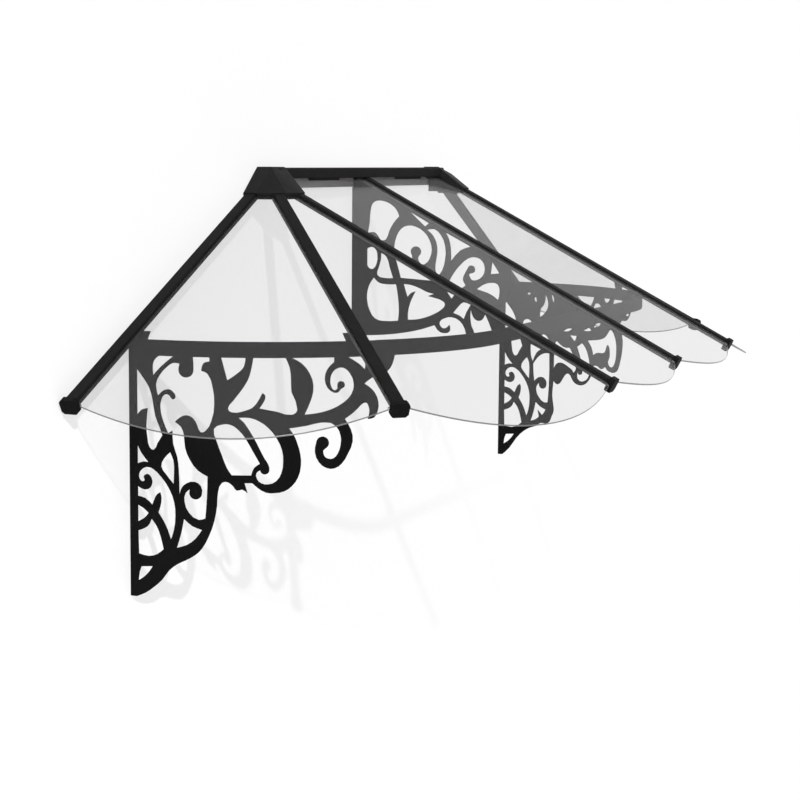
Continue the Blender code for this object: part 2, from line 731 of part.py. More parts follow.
def ridge_room_profile():
    front = RIDGE_FRONT + CLEARANCE
    top = RIDGE_TOP + CLEARANCE
    return [
        corner(-RIDGE_FRONT, top),
        corner(-RIDGE_FRONT, -2 * RIDGE_FRONT),
        corner(front, -2 * RIDGE_FRONT),
        corner(front, top - RIDGE_NOSE),
        corner(front - RIDGE_NOSE, top),
    ]


def make_hub_body(side, hub_x):
    """Casting under the sheets: three sockets that cradle the rafters and a post to the cover."""
    hub = Vector((hub_x, HUB_Y, 0.0))
    name = "hub_body_" + side
    body = cylinder(name, HUB_BODY_RADIUS, -2 * SOCKET_FALL, CROWN_TOP, hub, CANOPY)
    body.data.materials.append(PLASTIC)
    for rafter in hub_rafters(hub_x):
        socket = arm_hull(
            "socket_" + rafter.name, rafter, SOCKET_HALF_WIDTH, 0.0, SOCKET_DROP,
            SOCKET_FALL, SOCKET_LENGTH, CUTTERS,
        )
        boolean(body, as_cutter(socket), "UNION")
    level = -SHEET_SINK - SHEET_THICKNESS / COSINE / COSINE - CLEARANCE
    under = roof_block("below_sheets_" + side, hub_x, level, CUT_REACH, CUTTERS)
    boolean(body, as_cutter(under), "INTERSECT")
    for rafter in hub_rafters(hub_x):
        channel = extrusion(
            "bed_" + rafter.name, rafter_envelope(CLEARANCE), rafter,
            RAFTER_HEAD_START - CLEARANCE, SOCKET_LENGTH * 2, CUTTERS, None,
        )
        boolean(body, as_cutter(channel), "DIFFERENCE")
    behind = behind_wall("wall_" + side, hub_x, -RIDGE_WALL - CLEARANCE)
    boolean(body, as_cutter(behind), "DIFFERENCE")
    post_foot = HUB_POST_FOOT - 2 * SOCKET_FALL
    post = cylinder("post_" + side, HUB_POST_RADIUS, post_foot, CROWN_TOP, hub, CUTTERS, 24)
    cap = roof_block("post_top_" + side, hub_x, -SHEET_SINK, CUT_REACH, CUTTERS)
    boolean(post, as_cutter(cap), "INTERSECT")
    boolean(body, as_cutter(post), "UNION")


# Belt line: the plan curve that the side brackets and the belt are bent to
def corner_path(run, radius):
    """Point and outward direction at a run measured along the line from the middle of the front."""
    side = math.copysign(1.0, run)
    quarter = radius * math.pi / 2
    beyond = abs(run) - HUB_X
    if beyond <= 0.0:
        return Vector((run, HUB_Y - radius, 0.0)), Vector((0.0, -1.0, 0.0))
    turn = min(beyond, quarter) / radius
    outward = Vector((side * math.sin(turn), -math.cos(turn), 0.0))
    point = Vector((side * HUB_X, HUB_Y, 0.0)) + outward * radius
    point.y += max(beyond - quarter, 0.0)
    return point, outward


def line_length(radius):
    """Run from the middle of the front to the wall."""
    return HUB_X + radius * math.pi / 2 - HUB_Y


def flat_ends(radius):
    """Runs at which the bent line turns from one flat to the next, from left to right."""
    runs = []
    for flat in range(BEND_FLATS + 1):
        runs.append(HUB_X + radius * math.pi / 2 * flat / BEND_FLATS)
    return [-run for run in reversed(runs)] + runs


def bend_plate(item, radius):
    """Lays a flat plate round the corner line in narrow flats.

    The plate's X is its run along the line, its Y stays the height and its Z the depth.
    """
    turns = flat_ends(radius)
    shape = bmesh.new()
    shape.from_mesh(item.data)
    for turn in turns:
        bmesh.ops.bisect_plane(
            shape, geom=shape.verts[:] + shape.edges[:] + shape.faces[:], dist=0.000001,
            plane_co=(turn, 0.0, 0.0), plane_no=(1.0, 0.0, 0.0),
        )
    reach = line_length(radius)
    turns = [-reach] + turns + [reach]
    for vert in shape.verts:
        run, height, depth = vert.co
        place = max(1, min(bisect.bisect(turns, run), len(turns) - 1))
        first, second = turns[place - 1], turns[place]
        share = (run - first) / (second - first)
        ends = []
        for end in (first, second):
            point, outward = corner_path(end, radius)
            ends.append(point + outward * depth)
        vert.co = ends[0].lerp(ends[1], share) + UP * height
    bmesh.ops.recalc_face_normals(shape, faces=shape.faces)
    bmesh.ops.dissolve_limit(
        shape, angle_limit=FLAT_ANGLE, verts=shape.verts, edges=shape.edges, delimit={"NORMAL"}
    )
    shape.to_mesh(item.data)
    shape.free()


def tab_top(radius):
    """Height at which an upright plate meets the underside of a rafter."""
    return -SLOPE * (radius + PLATE_THICKNESS / 2) - UNDERSIDE_SINK - CLEARANCE


def tab(middle, top):
    """Flared tab on a plate's upper edge, from right to left."""
    return [
        corner(middle + TAB_HALF_WIDTH, BELT_TOP),
        corner(middle + TAB_HALF_WIDTH + TAB_FLARE, top),
        corner(middle - TAB_HALF_WIDTH - TAB_FLARE, top),
        corner(middle - TAB_HALF_WIDTH, BELT_TOP),
    ]


RAFTER_B_AT = -HUB_Y + BELT_RADIUS * math.pi / 4   # run from the wall to rafter B


def side_knots(knots):
    """Ornament knots of a side bracket in metres, stretched to where the rafter stands."""
    placed = []
    for knot in knots:
        across = knot[0] * RAFTER_B_AT / ORNAMENT_RAFTER_AT
        height = BELT_BOTTOM + (knot[1] - ORNAMENT_BELT_LEVEL) * MM
        placed.append((across, height) + tuple(knot[2:]))
    return placed


def from_wall(knots, side):
    """Turns distances from the wall into runs measured from the middle of the front."""
    length = line_length(BELT_RADIUS)
    return [(side * (length - knot[0]), knot[1]) + tuple(knot[2:]) for knot in knots]


def below_belt(place):
    """Corner on the belt's lower edge, where the openings under it begin."""
    return corner(place, ORNAMENT_BELT_LEVEL)


# Openings of the side brackets, and the edge of the plate from its foot to its far end
LEAF_BY_WALL = [
    corner(15, -326), (29, -343), (39, -358), (45, -377), (50, -405), (58, -424), corner(63, -438),
    (54, -452), (46, -464), (38, -460), (34, -445), (32, -423), corner(35, -393), (24, -396),
    corner(15, -406),
]
SLIT_BY_WALL = [corner(15, -455), (23, -470), corner(37, -486), (26, -485), corner(15, -489)]
STEM_SLIT = [
    corner(77, -466), (83, -480), (84, -500), corner(83, -521), (68, -504), (60, -492), (65, -478),
]
TOP_SLIT = [below_belt(57), (48, -311), (45, -322), corner(46, -337), (61, -321), below_belt(83)]
BIRD_OPENING = [
    below_belt(118), below_belt(147), corner(147, -310), (138, -312), (134, -319), corner(133, -326),
    (143, -330), (152, -352), (155, -382), (150, -410), (139, -428), (131, -430), (125, -418),
    (118, -407), (106, -402), (95, -406), corner(86, -414), (97, -422), (102, -436), (104, -457),
    (112, -477), (126, -495), corner(143, -505), (142, -540), corner(139, -577), (127, -580),
    (110, -569), (102, -550), (104, -535), corner(112, -528),
    *arc(122, -534, 11, 170, 350, 5),
    (131, -522), (120, -515), (106, -518), (97, -527), corner(93, -541), (92, -495), (89, -473),
    (82, -452), corner(81, -429), corner(73, -434), (63, -411), (59, -392), (61, -377), (68, -368),
    (76, -369), (82, -376), (87, -372), (82, -363), (74, -359), (63, -363), corner(55, -371),
    (51, -352), (58, -336), (72, -321), (84, -314), corner(95, -315),
    *arc(106, -325, 13, 165, 365, 6),
]
FORK_OPENING = [below_belt(167), (172, -322), corner(177, -341), (193, -330), (205, -318), below_belt(208)]
BUD_OPENING = [
    below_belt(221), (218, -320), (212, -340), (200, -359), (186, -377), (178, -389), (184, -395),
    (204, -393), corner(218, -388), (226, -380), corner(236, -362), (241, -366), (239, -376),
    corner(231, -388), (262, -394), (287, -399), (295, -391), (285, -361), (284, -340), (282, -320),
    below_belt(275),
]
CURL_OPENING = [
    below_belt(286), (302, -312), (316, -330), (322, -350), (319, -371), corner(307, -399),
    (329, -397), (353, -391), (375, -380), (389, -366), (393, -349), (386, -331), (376, -322),
    (365, -321), (355, -328), (351, -340), (353, -353), (359, -359), corner(364, -356),
    *arc(370, -350, 6.5, 200, -90, 5),
    (364, -363), (352, -360), (343, -347), (343, -330), (350, -318), corner(358, -311), below_belt(358),
]
THORN_OPENING = [below_belt(383), (402, -315), corner(413, -325), (414, -314), below_belt(405)]
CRESCENT_OPENING = [
    corner(196, -404), (214, -404), (231, -410), (247, -422), (260, -439), (269, -459), (271, -479),
    (268, -498), (259, -512), (246, -517), (234, -515), (227, -508), (226, -498), corner(232, -493),
    *arc(240, -492, 8, 190, 350, 4),
    (246, -483), (239, -472), (227, -448), (214, -425), corner(205, -412),
]
BUD_SLIT = [
    (154, -424), (168, -416), (182, -416), (195, -424), (207, -438), (219, -459), corner(232, -482),
    (222, -489), corner(217, -502), corner(184, -502), (176, -490), (167, -467), (158, -443),
]
SPRIG_OPENING = [
    (46, -497), (37, -494), (27, -496), (20, -502), (17, -511), (22, -519), (29, -517), (27, -511),
    (33, -506), (41, -512), (42, -524), (35, -532), (24, -532), corner(15, -527), corner(15, -545),
    (29, -548), corner(43, -559), (47, -549), (52, -540), corner(58, -536), (60, -546), (58, -560),
    corner(54, -571), (64, -586), (71, -600), corner(77, -617), (83, -600), (86, -575), (84, -552),
    (76, -531), (61, -510),
]
BRANCH_SLIT = [corner(15, -560), (26, -565), corner(36, -573), (28, -582), corner(15, -589)]
TWIG_OPENING = [
    corner(15, -605), (28, -600), (37, -592), corner(41, -582), (51, -594), (59, -613), corner(64, -634),
    (52, -643), (35, -648), corner(16, -645),
]
FOOT_SLIT = [corner(21, -667), corner(43, -665), (36, -675), (27, -684), corner(15, -692), (17, -677)]
STRUT_SLIT = [
    corner(101, -579), (116, -591), corner(133, -597), (122, -612), (106, -624), corner(88, -630),
    (96, -604),
]

LEFT_OPENINGS = [
    LEAF_BY_WALL, SLIT_BY_WALL, STEM_SLIT, TOP_SLIT, BIRD_OPENING, FORK_OPENING, BUD_OPENING,
    CURL_OPENING, THORN_OPENING, CRESCENT_OPENING, BUD_SLIT, SPRIG_OPENING, BRANCH_SLIT,
    TWIG_OPENING, FOOT_SLIT, STRUT_SLIT,
]
LEFT_EDGE = [
    corner(0, -720), corner(12, -720), (28, -713), (45, -701), (60, -688), (73, -671), (88, -659),
    (104, -651), (121, -641), (133, -629), (145, -607), (154, -582), (159, -555), (161, -530),
    (168, -515), (178, -514), corner(187, -521), (193, -528), (202, -526), corner(211, -532),
    corner(206, -515), corner(219, -515), (228, -523), (242, -531), (257, -532), (273, -529),
    (286, -520), (296, -506), (301, -486), (300, -466), (295, -448), (289, -433), corner(281, -422),
    (310, -418), (335, -413), corner(352, -414), (363, -422), (370, -437), (370, -452), (365, -467),
    (357, -475), (348, -475), (341, -470), corner(339, -461),
    *arc(338, -448, 11, -70, 180, 6),
    (325, -463), (332, -481), (345, -491), (359, -492), (372, -484), (383, -467), (391, -447),
    (388, -427), corner(377, -408), (389, -400), (400, -391), (409, -383), (416, -382),
    (421, -390), (422, -399), corner(419, -410), (430, -408), (437, -397), (438, -381), (431, -365),
    (421, -355), corner(412, -349), (425, -340), (442, -335), (456, -329), (465, -317), corner(470, -298),
]

# The right bracket shares the openings beside the wall; the rest of its ornament is its own
ARCH_OPENING = [
    corner(94, -482), (106, -466), (118, -457), (131, -453), corner(142, -453), corner(143, -490),
    (142, -540), corner(139, -577), (127, -578), (112, -566), (104, -550), (105, -538),
    corner(112, -529),
    *arc(123, -533, 10.5, 170, 350, 5),
    (131, -521), (120, -514), (106, -518), corner(98, -527), (95, -505),
]
KNOB_SLIT = [
    corner(103, -578), (118, -590), corner(133, -596), (127, -606), corner(122, -611),
    corner(110, -599), corner(114, -615), (104, -623), corner(89, -628), (97, -605),
]
LEAF_OPENING = [
    corner(159, -425), corner(163, -419), (178, -430), (193, -435), corner(205, -434), (215, -447),
    (224, -466), (228, -485), corner(219, -497), (214, -490), (200, -482), (185, -475), (170, -474),
    (160, -482), corner(155, -494), corner(155, -461),
]
RING_OPENING = [
    corner(229, -430), corner(247, -419), (260, -430), (270, -448), (276, -470), (276, -490),
    (270, -505), (259, -512), (247, -515), (237, -513), (231, -506), corner(232, -494),
    *arc(241, -492, 7, 190, 350, 4),
    (247, -480), (242, -460),
]
HOOK_OPENING = [
    corner(266, -412), (289, -409), (314, -405), (335, -397), (346, -386), (356, -378), (370, -382),
    (379, -392), (387, -407), (389, -423), (387, -444), (381, -459), (372, -467), (362, -469),
    (351, -465), corner(347, -457), (354, -444), (354, -432), (351, -420), corner(345, -416),
    (341, -424), (337, -433), (328, -437), (318, -438), (302, -439), corner(287, -447), (280, -428),
]
FAN_OPENING = [
    below_belt(126), (133, -315), (136, -330), (132, -344), (122, -356), corner(112, -363),
    corner(110, -343), (119, -336), (125, -325), (127, -312),
]
RIGHT_SLITS = [
    [corner(86, -432), corner(116, -444), (104, -453), corner(93, -476), (87, -462)],
    [(67, -386), (64, -377), (72, -370), (82, -371), corner(90, -378), (80, -385)],
    [corner(205, -403), corner(228, -403), (225, -412), corner(221, -417), (213, -411)],
    [corner(184, -394), (197, -387), corner(213, -386), (200, -393)],
    [corner(251, -388), (262, -383), corner(272, -379), corner(280, -386), (266, -388)],
    [corner(287, -380), (291, -372), (303, -366), corner(316, -365), (308, -374), (297, -375)],
    [corner(285, -332), (290, -321), (301, -317), (312, -321), corner(320, -331), (302, -332)],
    [below_belt(227), (240, -314), (258, -320), corner(276, -325), (283, -315), below_belt(289)],
    [below_belt(326), corner(329, -309), (336, -313), (346, -311), below_belt(354)],
    [below_belt(371), (367, -312), corner(361, -321), (389, -317), corner(413, -311), below_belt(416)],
    [corner(433, -337), (442, -332), corner(459, -333), (446, -338)],
    [below_belt(145), (148, -318), corner(152, -327), (153, -312)],
    [below_belt(70), (77, -310), below_belt(85)],
    [corner(95, -314), corner(101, -314), corner(103, -327), (96, -322)],
    [corner(115, -411), (123, -406), (132, -409), corner(141, -420), (128, -416)],
]
RIGHT_OPENINGS = [
    LEAF_BY_WALL, SLIT_BY_WALL, STEM_SLIT, SPRIG_OPENING, BRANCH_SLIT, TWIG_OPENING, FOOT_SLIT,
    ARCH_OPENING, KNOB_SLIT, LEAF_OPENING, RING_OPENING, HOOK_OPENING, FAN_OPENING,
] + RIGHT_SLITS
RIGHT_EDGE = [
    corner(0, -720), corner(12, -720), (31, -702), (50, -675), (70, -656), (88, -646), (103, -641),
    (120, -631), (133, -632), (144, -627), (151, -612), (157, -597), (155, -580), (152, -560),
    (153, -538), corner(155, -520), (161, -526), (169, -529), (178, -522), (187, -509), (199, -499),
    (209, -503), (215, -512), (225, -521), (240, -525), (254, -523), (266, -516), (276, -505),
    (284, -490), corner(288, -472), (306, -471), (318, -477), (329, -475), (337, -470), (347, -477),
    (364, -481), (381, -480), (395, -471), (408, -448), (416, -423), (418, -405), (413, -385),
    (405, -370), corner(402, -359), (412, -351), (428, -351), (444, -346), (458, -335), (466, -320),
    corner(470, -298),
]


def side_outline(edge):
    """Outer edge of a side bracket: the ornament's edge, then the belt's top and its two tabs."""
    knots = side_knots(edge)
    end = knots[-1][0]
    top = tab_top(BELT_RADIUS)
    knots.append(corner(end, BELT_TOP))
    knots += tab(RAFTER_B_AT, top)
    knots.append(corner(WALL_TAB_WIDTH, BELT_TOP))
    knots.append(corner(WALL_TAB_WIDTH + TAB_FLARE, top))
    knots.append(corner(0.0, top))
    return knots


def make_side_bracket(name, side, edge, openings):
    outlines = [side_outline(edge)] + [side_knots(opening) for opening in openings]
    placed = [from_wall(outline, side) for outline in outlines]
    bracket = plate(name, placed, PLATE_THICKNESS, Matrix.Identity(4), CANOPY, METAL, 2)
    bend_plate(bracket, BELT_RADIUS)


def make_belt():
    """Flat bar along the front, lapped behind the ends of the side brackets."""
    radius = BELT_RADIUS - PLATE_THICKNESS - CLEARANCE
    bracket_end = LEFT_EDGE[-1][0] * RAFTER_B_AT / ORNAMENT_RAFTER_AT
    start = bracket_end - BELT_LAP
    half = line_length(radius) - start
    top = tab_top(radius)
    outline = [corner(-half, BELT_TOP), corner(-half, BELT_BOTTOM)]
    outline += [corner(half, BELT_BOTTOM), corner(half, BELT_TOP)]
    for middle in (HUB_X, 0.0, -HUB_X):
        outline += tab(middle, top)
    belt = plate("front_belt", [outline], PLATE_THICKNESS, Matrix.Identity(4), CANOPY, METAL)
    bend_plate(belt, radius)


# Middle bracket: the flat plate under the middle rafter, as (distance from the wall, level)
MIDDLE_REACH = -HUB_Y + BELT_RADIUS - 2 * PLATE_THICKNESS


def middle_top(distance):
    """Height of the plate's upper edge under the rafter."""
    return -SLOPE * (distance + HUB_Y) - UNDERSIDE_SINK - CLEARANCE


def middle_knots(knots):
    """Ornament knots in metres, hung from the rafter's underside and stretched to the belt."""
    placed = []
    for knot in knots:
        across = knot[0] * MIDDLE_REACH / ORNAMENT_MIDDLE_AT
        fall = ORNAMENT_MIDDLE_LEVEL - (knot[0] + HUB_Y / MM) * ORNAMENT_MIDDLE_SLOPE - knot[1]
        placed.append((across, middle_top(across) - fall * MM) + tuple(knot[2:]))
    return placed


MIDDLE_OPENINGS = [
    [corner(51, -218), (42, -230), (36, -246), (35, -266), (41, -288), (53, -304), (72, -309),
     corner(107, -307), (109, -287), (106, -252), corner(102, -231), (72, -231), (60, -227)],
    [corner(119, -230), (135, -231), (157, -238), (173, -245), corner(188, -248), corner(174, -253),
     (192, -257), (207, -262), (213, -269), (206, -279), (190, -289), (168, -298), (146, -303),
     corner(129, -304), (129, -290), (133, -271), (140, -255), corner(146, -244), (136, -248),
     corner(128, -257), (123, -243)],
    [(62, -57), (49, -61), (43, -72), (40, -102), corner(36, -125), (50, -123), (58, -129),
     corner(66, -140), (78, -138), (85, -121), (96, -102), corner(108, -89), (102, -76), (90, -65),
     (76, -59)],
    [corner(35, -158), (45, -154), (55, -159), (59, -172), (57, -189), (49, -200), (40, -199),
     corner(35, -193)],
    [corner(67, -166), (79, -173), (87, -195), corner(95, -218), (70, -218), (58, -212), (61, -198),
     (66, -181)],
    [corner(132, -79), corner(175, -102), corner(166, -109), (149, -94)],
    [corner(212, -120), corner(268, -148), (246, -156), corner(225, -179), (224, -152), (219, -132)],
    [corner(171, -116), (187, -114), (202, -126), (212, -149), (212, -176), (206, -198),
     corner(197, -211), (190, -199), (192, -176), (194, -151), (184, -127)],
    [corner(112, -217), (104, -190), (97, -165), (97, -149), (102, -130), (112, -115), (127, -108),
     (146, -110), (164, -120), (177, -137), (182, -157), (177, -176), (168, -186), (158, -187),
     corner(151, -177), *arc(146, -162, 11.5, -60, 225, 6), corner(138, -174), (141, -189),
     (152, -199), (166, -202), corner(182, -206), corner(186, -221), (150, -219)],
    [corner(221, -221), (231, -204), (246, -186), (264, -172), (281, -170), (295, -178), (300, -194),
     (295, -208), (283, -216), (271, -216), corner(265, -206), *arc(270, -195, 8.5, -105, 175, 5),
     (256, -204), (252, -216), corner(258, -228), (248, -234), (234, -229)],
    [corner(283, -235), (298, -225), (316, -221), (329, -224), (333, -240), corner(330, -256),
     (314, -245), (297, -239)],
    [corner(316, -178), corner(332, -201), corner(313, -203)],
    [corner(216, -242), corner(233, -249), corner(227, -257)],
    [(254, -263), corner(270, -268), (261, -283), corner(255, -298), (245, -291), corner(231, -286),
     (242, -273)],
]
MIDDLE_EDGE = [
    corner(0, -341), corner(31, -341), (75, -338), (125, -331), (160, -323), corner(190, -313),
    (198, -324), (212, -329), (224, -324), corner(223, -311), (213, -319), (203, -315), (201, -306),
    (212, -298), (228, -295), (246, -302), (257, -317), corner(264, -346), corner(273, -345),
    (279, -328), (272, -312), (269, -293), corner(270, -276), (276, -293), (285, -300), (295, -298),
    corner(302, -286), (311, -304), corner(326, -342), (333, -318), (334, -294), (342, -270),
    (351, -250), (356, -226),
]


def make_middle_bracket():
    edge = middle_knots(MIDDLE_EDGE)
    edge.append(corner(edge[-1][0], middle_top(edge[-1][0])))
    behind_ridge = RIDGE_WALL + CLEARANCE
    edge.append(corner(behind_ridge, middle_top(behind_ridge)))
    under_flange = -RIDGE_FLANGE_FALL - CLEARANCE
    edge.append(corner(behind_ridge, under_flange))
    edge.append(corner(0.0, under_flange))
    outlines = [edge] + [middle_knots(opening) for opening in MIDDLE_OPENINGS]
    columns = (Vector((0.0, -1.0, 0.0)), UP, Vector((-1.0, 0.0, 0.0)))
    matrix = Matrix([list(axis) for axis in columns]).transposed().to_4x4()
    plate("middle_bracket", outlines, PLATE_THICKNESS, matrix, CANOPY, METAL, 2)


for number in range(len(RAFTERS)):
    make_rafter(number)

SHEET_NAMES = (
    "panel_ab_left", "panel_bc_left", "panel_cd_left",
    "panel_cd_right", "panel_bc_right", "panel_ab_right",
)
for number, sheet_name in enumerate(SHEET_NAMES):
    make_sheet(number, sheet_name)

make_ridge()
for hub_side, hub_at in (("left", -HUB_X), ("right", HUB_X)):
    make_hub_cover(hub_side, hub_at)
    make_hub_body(hub_side, hub_at)

make_side_bracket("side_bracket_left", -1.0, LEFT_EDGE, LEFT_OPENINGS)
make_side_bracket("side_bracket_right", 1.0, RIGHT_EDGE, RIGHT_OPENINGS)
make_belt()
make_middle_bracket()
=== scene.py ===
"""Looks of a wall-hung door canopy: clear scalloped sheets in dark ribs, on a belt and scroll plates."""

import json
import math

import bmesh
import bpy
from mathutils import Matrix, Vector


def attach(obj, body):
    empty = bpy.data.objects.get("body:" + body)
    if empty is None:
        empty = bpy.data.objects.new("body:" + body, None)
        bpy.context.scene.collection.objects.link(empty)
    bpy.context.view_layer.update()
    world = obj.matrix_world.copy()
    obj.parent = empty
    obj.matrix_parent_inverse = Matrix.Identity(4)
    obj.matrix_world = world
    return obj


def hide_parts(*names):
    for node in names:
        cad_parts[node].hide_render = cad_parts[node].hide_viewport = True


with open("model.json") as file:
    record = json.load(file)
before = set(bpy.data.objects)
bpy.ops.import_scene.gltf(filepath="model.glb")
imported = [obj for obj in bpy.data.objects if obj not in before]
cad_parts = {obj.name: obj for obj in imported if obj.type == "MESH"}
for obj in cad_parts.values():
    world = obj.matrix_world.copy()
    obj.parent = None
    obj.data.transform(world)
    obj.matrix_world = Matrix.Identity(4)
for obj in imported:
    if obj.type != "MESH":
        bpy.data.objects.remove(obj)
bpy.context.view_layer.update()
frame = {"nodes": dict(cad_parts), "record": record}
nodes = frame["nodes"]

# Sizes are in metres, as in the frame: X along the wall, Y into it, Z up. Angles are in degrees.

# Run and fall of a rib of the fan, and the headings of the ribs from the direction of X.
ROOF_RUN = 0.691
ROOF_DROP = 0.357
HEADINGS = {
    "a_left": 180,
    "b_left": 225,
    "c_left": 270,
    "d": 270,
    "c_right": 270,
    "b_right": 315,
    "a_right": 0,
}

# Points closer than this count as one, and so do faces that meet at less than this.
SAME_POINT = 0.00001
SAME_FACE = 0.5

# Widths of the worked edges, and the least angle of the edges that are worked.
SHEET_ARRIS = 0.0005
SHEET_ANGLE = 60
PLATE_EDGE = 0.0003
PLATE_ANGLE = 55
BAR_EDGE = 0.0007
BAR_ANGLE = 35
FOLD_EDGE = 0.0009
FOLD_ANGLE = 25

# A sheet's face is broad when its normal is as near as this to that of the largest face.
BROAD_FACE = 0.98

CAP_WIDTH = 0.0315
CAP_LENGTH = 0.0115
CAP_REACH = 0.0065
CAP_SHOULDER = 0.0048
CAP_EDGE = 0.0009
CAP_ANGLE = 20

HUB_X = 0.425
HUB_Y = -0.0185
CLEARANCE = 0.0003
CROWN_TOP = 0.0128
# How far the flat top runs past the hub axis: the right one stops short of it.
CROWN_ENDS = {-1: 0.008, 1: -0.022}
CROWN_FRONT = -0.0300
CROWN_DEPTH = 0.015
COVER_RIDGE_END = 0.388
COVER_FRONT = -0.0418
COVER_NOSE = 0.006
COVER_LIP = 0.0093
COVER_WALL = 0.0018
COVER_EDGE = 0.0034
COVER_EDGE_STEPS = 4
COVER_ANGLE = 12
COVER_FLATNESS = 3
# Faces of the cover that look down more steeply than this are left open.
COVER_OPEN_BELOW = -0.6
ARM_HEADINGS = {-1: (180, 225, 270), 1: (270, 315, 0)}
# Corners of an arm: along the slope, half across it, and above the line through the hub axis.
ARM_CORNERS = (
    (0.028, 0.0130, 0.0110),
    (0.081, 0.0128, 0.0022),
    (0.081, 0.0148, -0.0002),
    (0.081, 0.0148, -0.0110),
)
BODY_REACH = 0.063
# Edges that a cut leaves shorter than this are merged away.
CUT_SLIVER = 0.0001

RIDGE_RUN_ON = 0.012
RIDGE_END_BAND = 0.0005
FLANGE_TOP = -0.010
LOOKS_TO_STREET = -0.5

WALL_FACE = 0.0008
ROOM_HALF_WIDTH = 9.0
FLOOR_LEVEL = -2.1

# The wall's share of true shading at two places along it: the shadow fades as in the photograph.
SHADE_LEFT_X = -1.0
SHADE_RIGHT_X = 0.8
SHADE_LEFT = 0.37
SHADE_RIGHT = 0.02

AIR_STRENGTH = 0.36
# The light runs this way to throw the canopy's shadow on the wall as in the photograph.
KEY_DIRECTION = Vector((0.674, 0.522, -0.523))
KEY_SPREAD = 1.0
KEY_STRENGTH = 3.4

# Most of a noise's values lie between these two.
NOISE_RANGE = (0.3, 0.7)


# Shader words


class Value:
    """A socket of a material's nodes, which can be used in sums."""

    def __init__(self, paint, socket):
        self.paint = paint
        self.socket = socket

    def sum_of(self, operation, first, second):
        return self.paint.node("ShaderNodeMath", {"operation": operation}, {0: first, 1: second})

    def __add__(self, other):
        return self.sum_of("ADD", self, other)

    def __rsub__(self, other):
        return self.sum_of("SUBTRACT", other, self)

    def __mul__(self, other):
        return self.sum_of("MULTIPLY", self, other)

    def __pow__(self, power):
        return self.sum_of("POWER", self, power)

    def larger(self, other):
        return self.sum_of("MAXIMUM", self, other)

    __radd__ = __add__
    __rmul__ = __mul__


class Paint:
    """The nodes of one finish, or of the air round the object."""

    def __init__(self, owner, end="ShaderNodeOutputMaterial"):
        owner.use_nodes = True
        self.owner = owner
        self.tree = owner.node_tree
        self.tree.nodes.clear()
        self.end = self.tree.nodes.new(end)

    def node(self, kind, settings, inputs, output=0):
        made = self.tree.nodes.new(kind)
        for key, setting in settings.items():
            setattr(made, key, setting)
        for key, given in inputs.items():
            socket = made.inputs[key]
            if isinstance(given, Value):
                self.tree.links.new(given.socket, socket)
            else:
                socket.default_value = given
        return Value(self, made.outputs[output])

    def place(self, stretch=(1.0, 1.0, 1.0)):
        where = self.node("ShaderNodeTexCoord", {}, {}, "Object")
        return self.node("ShaderNodeMapping", {}, {"Vector": where, "Scale": stretch})

    def noise(self, scale, detail=3.0, roughness=0.55, stretch=(1.0, 1.0, 1.0)):
        inputs = {"Vector": self.place(stretch), "Scale": scale, "Detail": detail, "Roughness": roughness}
        return self.node("ShaderNodeTexNoise", {}, inputs, "Fac")

    def spread(self, value, low, high, to_low, to_high):
        inputs = {"Value": value, "From Min": low, "From Max": high, "To Min": to_low, "To Max": to_high}
        return self.node("ShaderNodeMapRange", {"clamp": True}, inputs)

    def blend(self, factor, one, two):
        factor_socket, one_socket, two_socket, colour_output = 0, 6, 7, 2
        inputs = {factor_socket: factor, one_socket: one, two_socket: two}
        return self.node("ShaderNodeMix", {"data_type": "RGBA"}, inputs, colour_output)

    def bump(self, height, strength, distance):
        inputs = {"Height": height, "Strength": strength, "Distance": distance}
        return self.node("ShaderNodeBump", {}, inputs)

    def looked_at(self):
        """One for the lens, for gloss and through clear stuff, and nought for the light's own paths."""
        lens = self.node("ShaderNodeLightPath", {}, {}, "Is Camera Ray")
        gloss = self.node("ShaderNodeLightPath", {}, {}, "Is Glossy Ray")
        clear = self.node("ShaderNodeLightPath", {}, {}, "Is Transmission Ray")
        return lens.larger(gloss).larger(clear)

    def surface(self, shader):
        self.tree.links.new(shader.socket, self.end.inputs["Surface"])
        return self.owner


def grey(level, warmth=0.0):
    return (level * (1 + warmth), level, level * (1 - warmth), 1.0)


# Finishes


def coated_metal(name, level, roughness, gloss, peel_scale):
    """A dark satin powder coat: orange peel, faint clouds, and dust that dulls it here and there."""
    paint = Paint(bpy.data.materials.new(name))
    warmth = 0.02
    clouds = paint.spread(paint.noise(14.0, detail=4.0), *NOISE_RANGE, 0.0, 1.0)
    peel = paint.noise(peel_scale, detail=2.0, roughness=0.5)
    flecks = paint.spread(paint.noise(1500.0, detail=1.0), 0.62, 0.75, 0.0, 0.35)
    base = paint.blend(clouds, grey(level * 0.88, warmth), grey(level * 1.12, warmth))
    dust = paint.spread(paint.noise(55.0), *NOISE_RANGE, -0.05, 0.06)
    finish = {
        "Base Color": paint.blend(flecks, base, grey(level * 2.1, warmth)),
        "Roughness": dust + roughness,
        "Specular IOR Level": gloss,
        "Normal": paint.bump(peel, strength=0.25, distance=0.0004),
    }
    return paint.surface(paint.node("ShaderNodeBsdfPrincipled", {}, finish))


def moulded_plastic(name, level, roughness):
    """Black plastic with the fine spark-eroded grain of its mould."""
    paint = Paint(bpy.data.materials.new(name))
    grain = paint.noise(900.0, detail=2.0, roughness=0.6)
    finish = {
        "Base Color": paint.blend(paint.noise(30.0), grey(level * 0.85), grey(level * 1.15)),
        "Roughness": paint.spread(grain, *NOISE_RANGE, roughness - 0.04, roughness + 0.06),
        "Specular IOR Level": 0.02,
        "Normal": paint.bump(grain, strength=0.3, distance=0.0002),
    }
    return paint.surface(paint.node("ShaderNodeBsdfPrincipled", {}, finish))


